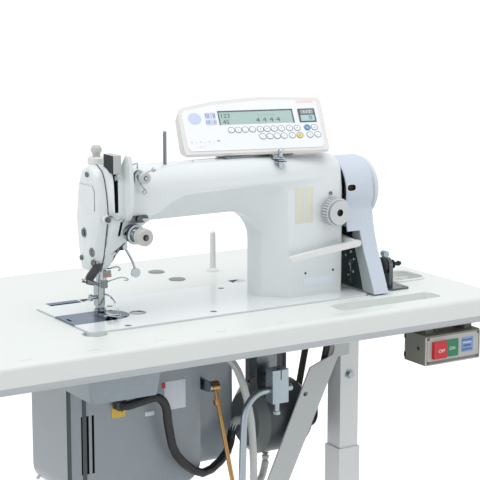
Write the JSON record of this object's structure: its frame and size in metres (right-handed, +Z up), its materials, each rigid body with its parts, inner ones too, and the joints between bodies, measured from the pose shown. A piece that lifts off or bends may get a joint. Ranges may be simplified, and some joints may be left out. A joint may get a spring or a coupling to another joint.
{
  "type": "lockstitch sewing machine",
  "caption": "Industrial lockstitch sewing station: white cast head with operation panel set in a pale table on a steel stand, with drive motor, knee lifter, treadle and switch box below",
  "frame": {"origin": "on the floor, under the centre of the table", "axes": "+X to the operator's right, along the table; +Y away from the operator; +Z up"},
  "size_m": [1.2, 0.53, 1.0828],
  "materials": {
    "melamine": "smooth laminate with a satin sheen",
    "grey_plastic": "moulded, satin",
    "white_plastic": "moulded, semi-gloss",
    "black_rubber": "matt",
    "steel_plate": "brushed",
    "galvanized": "galvanized sheet",
    "stand_paint": "powder coat, fine texture",
    "brace_paint": "powder coat, satin",
    "zinc_hardware": "zinc plated",
    "drive_paint": "satin enamel",
    "motor_paint": "satin enamel",
    "dark_steel": "blackened, oiled",
    "belt_rubber": "matt",
    "cable_skin": "smooth sleeve",
    "brass_rod": "dull, drawn",
    "box_plastic": "moulded, satin",
    "red_plastic": "moulded",
    "green_plastic": "moulded",
    "head_paint": "gloss enamel on cast metal",
    "bright_steel": "ground and polished",
    "chrome_trim": "polished",
    "black_plastic": "moulded",
    "wheel_plastic": "moulded, satin",
    "cover_plastic": "moulded, satin",
    "panel_plastic": "moulded, fine texture",
    "panel_film": "printed film, semi-gloss"
  },
  "bodies": {
    "table": {"table_top": "melamine", "hole_plugs": "grey_plastic", "head_rest_post": "white_plastic", "hinge_seats": "black_rubber", "rear_strip": "steel_plate", "bed_cushions": "black_rubber", "oil_pan": "galvanized", "stand_columns": "stand_paint", "stand_uppers": "stand_paint", "stand_braces": "brace_paint", "stand_hardware": "zinc_hardware", "control_box": "drive_paint", "motor": "motor_paint", "v_belt": "belt_rubber", "cables": "cable_skin", "knee_bracket": "dark_steel", "switch_box": "box_plastic", "winder_base": "dark_steel"},
    "head": {"bed": "head_paint", "arm": "head_paint", "face_plate": "head_paint", "face_screws": "dark_steel", "needle_plate": "bright_steel", "bed_plugs": "dark_steel", "head_guards": "head_paint", "thread_guides": "chrome_trim", "tension_posts": "chrome_trim", "belt_cover": "cover_plastic", "panel_bracket": "dark_steel", "panel_case": "panel_plastic", "panel_face": "panel_film", "bobbin_case": "bright_steel"},
    "wheel": {"handwheel": "wheel_plastic", "main_shaft": "bright_steel"},
    "upright": {"upright_shaft": "bright_steel"},
    "hook_shaft": {"hook": "bright_steel"},
    "motor_wheel": {"motor_pulley": "dark_steel"},
    "needle": {"needle_bar": "chrome_trim"},
    "take_up": {"take_up_lever": "chrome_trim"},
    "presser": {"presser_bar": "chrome_trim"},
    "foot": {"presser_sole": "bright_steel"},
    "lifter": {"hand_lifter": "dark_steel"},
    "feed": {"feed_dog": "bright_steel"},
    "dial": {"stitch_dial": "white_plastic"},
    "reverse": {"reverse_lever": "white_plastic"},
    "tension_nut": {"main_nut": "white_plastic"},
    "pre_tension_nut": {"pre_nut": "white_plastic"},
    "pressure": {"pressure_knob": "white_plastic"},
    "touch": {"touch_lever": "chrome_trim"},
    "wiper_arm": {"wiper": "black_plastic"},
    "slide": {"slide_plate": "bright_steel"},
    "winder_spindle": {"winder_wheel": "black_rubber"},
    "winder_arm": {"winder_lever": "zinc_hardware"},
    "knee": {"knee_clamp": "zinc_hardware", "knee_rod": "zinc_hardware"},
    "treadle": {"pedal": "stand_paint"},
    "pitman": {"pitman_rod": "brass_rod"},
    "sensor": {"sensor_lever": "zinc_hardware"},
    "stop_button": {"off_button": "red_plastic"},
    "start_button": {"on_button": "green_plastic"}
  },
  "joints": [
    {"name": "head_tilt", "type": "hinge", "parent": "table", "child": "head", "pos_m": [0.1635, 0.0236, 0.778], "axis": [-1, 0, 0], "range_deg": [0, 83], "deforming": ["v_belt"]},
    {"name": "handwheel_spin", "type": "hinge", "parent": "head", "child": "wheel", "pos_m": [0.452, -0.079, 0.937], "axis": [1, 0, 0], "continuous": true},
    {"name": "upright_spin", "type": "hinge", "parent": "head", "child": "upright", "pos_m": [0.345, -0.079, 0.84], "axis": [0, 0, 1], "continuous": true},
    {"name": "hook_spin", "type": "hinge", "parent": "head", "child": "hook_shaft", "pos_m": [0.15, -0.079, 0.753], "axis": [1, 0, 0], "continuous": true},
    {"name": "motor_spin", "type": "hinge", "parent": "table", "child": "motor_wheel", "pos_m": [0.427, 0.033, 0.548], "axis": [1, 0, 0], "continuous": true},
    {"name": "needle_slide", "type": "slide", "parent": "head", "child": "needle", "axis": [0, 0, 1], "range_m": [-0.0307, 0]},
    {"name": "take_up_swing", "type": "hinge", "parent": "head", "child": "take_up", "pos_m": [0, -0.089, 0.968], "axis": [1, 0, 0], "range_deg": [0, 62]},
    {"name": "presser_lift", "type": "slide", "parent": "head", "child": "presser", "axis": [0, 0, 1], "range_m": [0, 0.013]},
    {"name": "foot_tilt", "type": "hinge", "parent": "presser", "child": "foot", "pos_m": [0, -0.065, 0.788], "axis": [-1, 0, 0], "range_deg": [0, 12]},
    {"name": "lifter_turn", "type": "hinge", "parent": "head", "child": "lifter", "pos_m": [0.014, -0.031, 0.908], "axis": [0, 1, 0], "range_deg": [0, 50]},
    {"name": "feed_slide", "type": "slide", "parent": "head", "child": "feed", "axis": [0, 1, 0], "range_m": [-0.002, 0.002]},
    {"name": "dial_turn", "type": "hinge", "parent": "head", "child": "dial", "pos_m": [0.37, -0.136, 0.91], "axis": [0, 1, 0], "range_deg": [-150, 150]},
    {"name": "reverse_press", "type": "hinge", "parent": "head", "child": "reverse", "pos_m": [0.397, -0.091, 0.864], "axis": [1, 0, 0], "range_deg": [0, 18]},
    {"name": "tension_turn", "type": "hinge", "parent": "head", "child": "tension_nut", "pos_m": [0.026, -0.152, 0.9075], "axis": [0, 1, 0], "range_deg": [-180, 180]},
    {"name": "pre_tension_turn", "type": "hinge", "parent": "head", "child": "pre_tension_nut", "pos_m": [0.033, -0.145, 0.99], "axis": [0, 1, 0], "range_deg": [-180, 180]},
    {"name": "pressure_turn", "type": "hinge", "parent": "head", "child": "pressure", "pos_m": [0, -0.061, 1.017], "axis": [0, 0, 1], "range_deg": [-180, 180]},
    {"name": "touch_swing", "type": "hinge", "parent": "head", "child": "touch", "pos_m": [0.031, -0.085, 0.882], "axis": [0, 1, 0], "range_deg": [-8, 8]},
    {"name": "wiper_swing", "type": "hinge", "parent": "head", "child": "wiper_arm", "pos_m": [-0.018, -0.094, 0.859], "axis": [0, -1, 0], "range_deg": [0, 14]},
    {"name": "slide_plate_pull", "type": "slide", "parent": "head", "child": "slide", "axis": [-1, 0, 0], "range_m": [0, 0.045]},
    {"name": "winder_spin", "type": "hinge", "parent": "table", "child": "winder_spindle", "pos_m": [0.471, -0.129, 0.816], "axis": [1, 0, 0], "continuous": true},
    {"name": "winder_arm_swing", "type": "hinge", "parent": "table", "child": "winder_arm", "pos_m": [0.476, -0.12, 0.795], "axis": [1, 0, 0], "range_deg": [0, 10]},
    {"name": "knee_press", "type": "hinge", "parent": "table", "child": "knee", "pos_m": [0.268, -0.127, 0.656], "axis": [0, 1, 0], "range_deg": [0, 25]},
    {"name": "pedal_tilt", "type": "hinge", "parent": "table", "child": "treadle", "pos_m": [0.032, -0.099, 0.15], "axis": [1, 0, 0], "range_deg": [-12, 12]},
    {"name": "pitman_swing", "type": "hinge", "parent": "treadle", "child": "pitman", "pos_m": [0.221, -0.193, 0.172], "axis": [1, 0, 0], "range_deg": [-12, 12]},
    {"name": "sensor_swing", "type": "hinge", "parent": "table", "child": "sensor", "pos_m": [0.2, 0.039, 0.63], "axis": [1, 0, 0], "range_deg": [-19, 19]},
    {"name": "stop_press", "type": "slide", "parent": "table", "child": "stop_button", "axis": [0, 1, 0], "range_m": [0, 0.004]},
    {"name": "start_press", "type": "slide", "parent": "table", "child": "start_button", "axis": [0, -1, 0], "range_m": [0, 0.004]}
  ],
  "couplings": [
    {"joint": "upright_spin", "follows": "handwheel_spin", "ratio": -1},
    {"joint": "hook_spin", "follows": "handwheel_spin", "ratio": 2},
    {"joint": "motor_spin", "follows": "handwheel_spin", "ratio": 1.1739},
    {"joint": "take_up_swing", "follows": "needle_slide", "rad_per_m": -35.248},
    {"joint": "presser_lift", "follows": "knee_press", "m_per_rad": 0.02979},
    {"joint": "lifter_turn", "follows": "knee_press", "ratio": 2},
    {"joint": "pitman_swing", "follows": "pedal_tilt", "ratio": -1},
    {"joint": "sensor_swing", "follows": "pedal_tilt", "ratio": 1.5},
    {"joint": "start_press", "follows": "stop_press", "ratio": 1}
  ]
}
